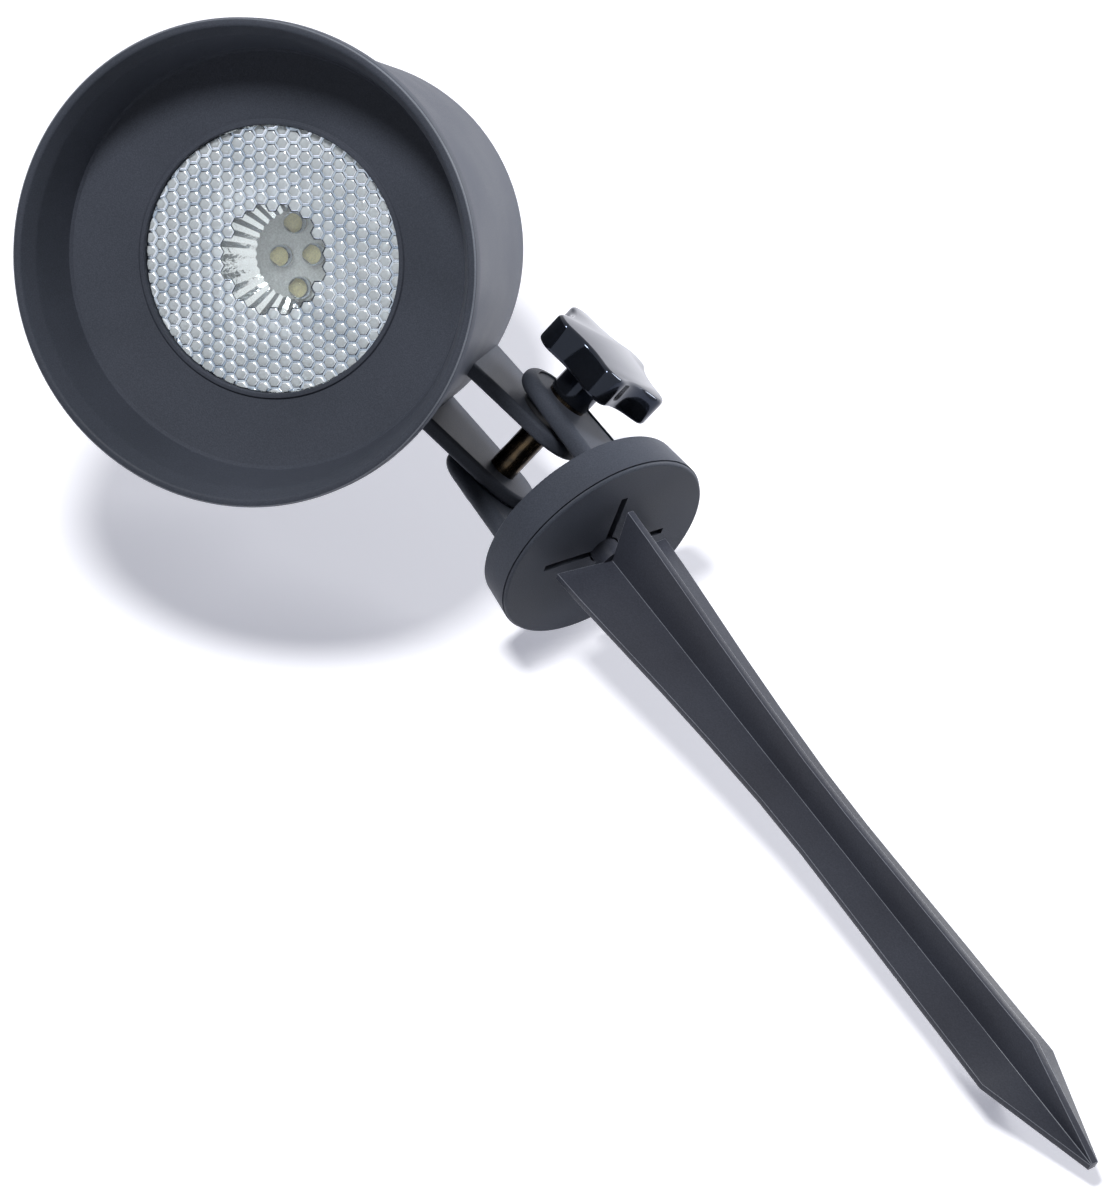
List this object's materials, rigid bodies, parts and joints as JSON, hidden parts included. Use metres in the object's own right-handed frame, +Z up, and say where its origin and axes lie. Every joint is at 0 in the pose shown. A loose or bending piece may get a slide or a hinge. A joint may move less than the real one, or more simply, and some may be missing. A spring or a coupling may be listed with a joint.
{
  "type": "garden spike spotlight",
  "caption": "Outdoor spotlight with a deep round cowl and a honeycomb lens, on a tilting clamp bracket with a star knob, over a cross-finned ground spike",
  "frame": {"origin": "middle of the underside of the round flange, on the ground line; the spike goes down from there", "axes": "+X along the tilt bolt towards the knob, -Y to the front where the head aims, +Z up, against the spike"},
  "size_m": [0.14, 0.1682, 0.424],
  "materials": {
    "housing_plastic": "charcoal polypropylene, fine spark-eroded texture",
    "spike_plastic": "charcoal glass-filled polypropylene, smooth mould faces, worn edges",
    "knob_plastic": "black polished moulding",
    "seal_rubber": "black silicone rubber",
    "clear_lens": "clear moulded polycarbonate with a honeycomb of small lenses",
    "reflector": "vacuum-metallised plastic",
    "led_board": "white solder mask on aluminium core",
    "heat_sink": "die-cast aluminium, as cast",
    "driver_board": "green solder mask on glass-epoxy",
    "capacitor": "shrink-sleeved aluminium can",
    "coil": "ferrite bobbin",
    "terminal_block": "green polyamide",
    "gland_nylon": "black polyamide",
    "black_steel": "black oxide steel tube",
    "zinc_steel": "zinc-plated steel",
    "friction_plastic": "black acetal",
    "insert_brass": "turned brass",
    "led_phosphor": "yellow phosphor chip",
    "led_dome": "clear silicone dome",
    "lead_red": "red insulated single core",
    "lead_black": "black insulated single core"
  },
  "bodies": {
    "base": {"base_bracket": "housing_plastic", "flange_plate": "housing_plastic", "spike": "spike_plastic", "spike_screw": "zinc_steel", "spike_washer": "zinc_steel", "pivot_bolt": "zinc_steel", "friction_washer": "friction_plastic"},
    "head": {"front_cowl": "housing_plastic", "rear_housing": "housing_plastic", "housing_seal": "seal_rubber", "lens_gasket": "seal_rubber", "gland_seal": "seal_rubber", "lens": "clear_lens", "reflector": "reflector", "led_board": "led_board", "heat_sink": "heat_sink", "driver_board": "driver_board", "driver_capacitor": "capacitor", "driver_coil": "coil", "terminal_block": "terminal_block", "gland_body": "gland_nylon", "gland_cap": "gland_nylon", "gland_lock_nut": "gland_nylon", "spacer_tube": "black_steel", "led_lead_positive": "lead_red", "led_lead_negative": "lead_black", "cowl_screw_1": "zinc_steel", "cowl_screw_2": "zinc_steel", "cowl_screw_3": "zinc_steel", "led_emitter_1": "led_phosphor", "led_dome_1": "led_dome", "led_emitter_2": "led_phosphor", "led_dome_2": "led_dome", "led_emitter_3": "led_phosphor", "led_dome_3": "led_dome", "led_emitter_4": "led_phosphor", "led_dome_4": "led_dome"},
    "knob_washer": {"knob_washer": "zinc_steel"},
    "knob": {"star_knob": "knob_plastic", "knob_insert": "insert_brass"}
  },
  "joints": [
    {"name": "head_tilt", "type": "hinge", "parent": "base", "child": "head", "pos_m": [0, 0, 0.04482], "axis": [1, 0, 0], "range_deg": [-100, 20]},
    {"name": "knob_slide", "type": "slide", "parent": "base", "child": "knob_washer", "axis": [1, 0, 0], "range_m": [0, 0.002]},
    {"name": "knob_turn", "type": "hinge", "parent": "knob_washer", "child": "knob", "pos_m": [0.026, 0, 0.04482], "axis": [1, 0, 0], "range_deg": [0, 720]}
  ],
  "couplings": [
    {"joint": "knob_slide", "follows": "knob_turn", "m_per_rad": 0.00015915}
  ]
}
